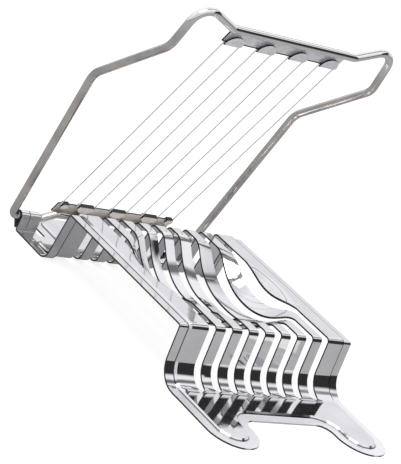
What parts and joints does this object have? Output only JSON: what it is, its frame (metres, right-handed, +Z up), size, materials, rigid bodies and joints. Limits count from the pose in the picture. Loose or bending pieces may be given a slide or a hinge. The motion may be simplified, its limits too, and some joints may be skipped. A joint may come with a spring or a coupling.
{
  "type": "egg slicer",
  "caption": "Hinged metal egg slicer: a stamped base with a slotted egg cup, and a wire bow whose parallel cutting wires drop through the slots.",
  "frame": {"origin": "middle of the base's outline, on the surface it stands on", "axes": "+X across the base along the hinge line, +Y from the front feet to the hinge, +Z up"},
  "size_m": [0.0864, 0.1236, 0.0948],
  "materials": {
    "polished_sheet": "polished",
    "bow_wire": "polished",
    "comb_sheet": "bright",
    "cutting_wire": "drawn"
  },
  "bodies": {
    "base": {"base": "polished_sheet"},
    "bow": {"bow_frame": "bow_wire", "front_comb": "comb_sheet", "rear_comb": "comb_sheet", "front_wire_loops": "cutting_wire", "rear_wire_loops": "cutting_wire", "cutting_wire_1": "cutting_wire", "cutting_wire_2": "cutting_wire", "cutting_wire_3": "cutting_wire", "cutting_wire_4": "cutting_wire", "cutting_wire_5": "cutting_wire", "cutting_wire_6": "cutting_wire", "cutting_wire_7": "cutting_wire", "cutting_wire_8": "cutting_wire"}
  },
  "joints": [
    {"name": "bow_hinge", "type": "hinge", "parent": "base", "child": "bow", "pos_m": [0, 0.053, 0.00443], "axis": [1, 0, 0], "range_deg": [-104, 66]}
  ]
}
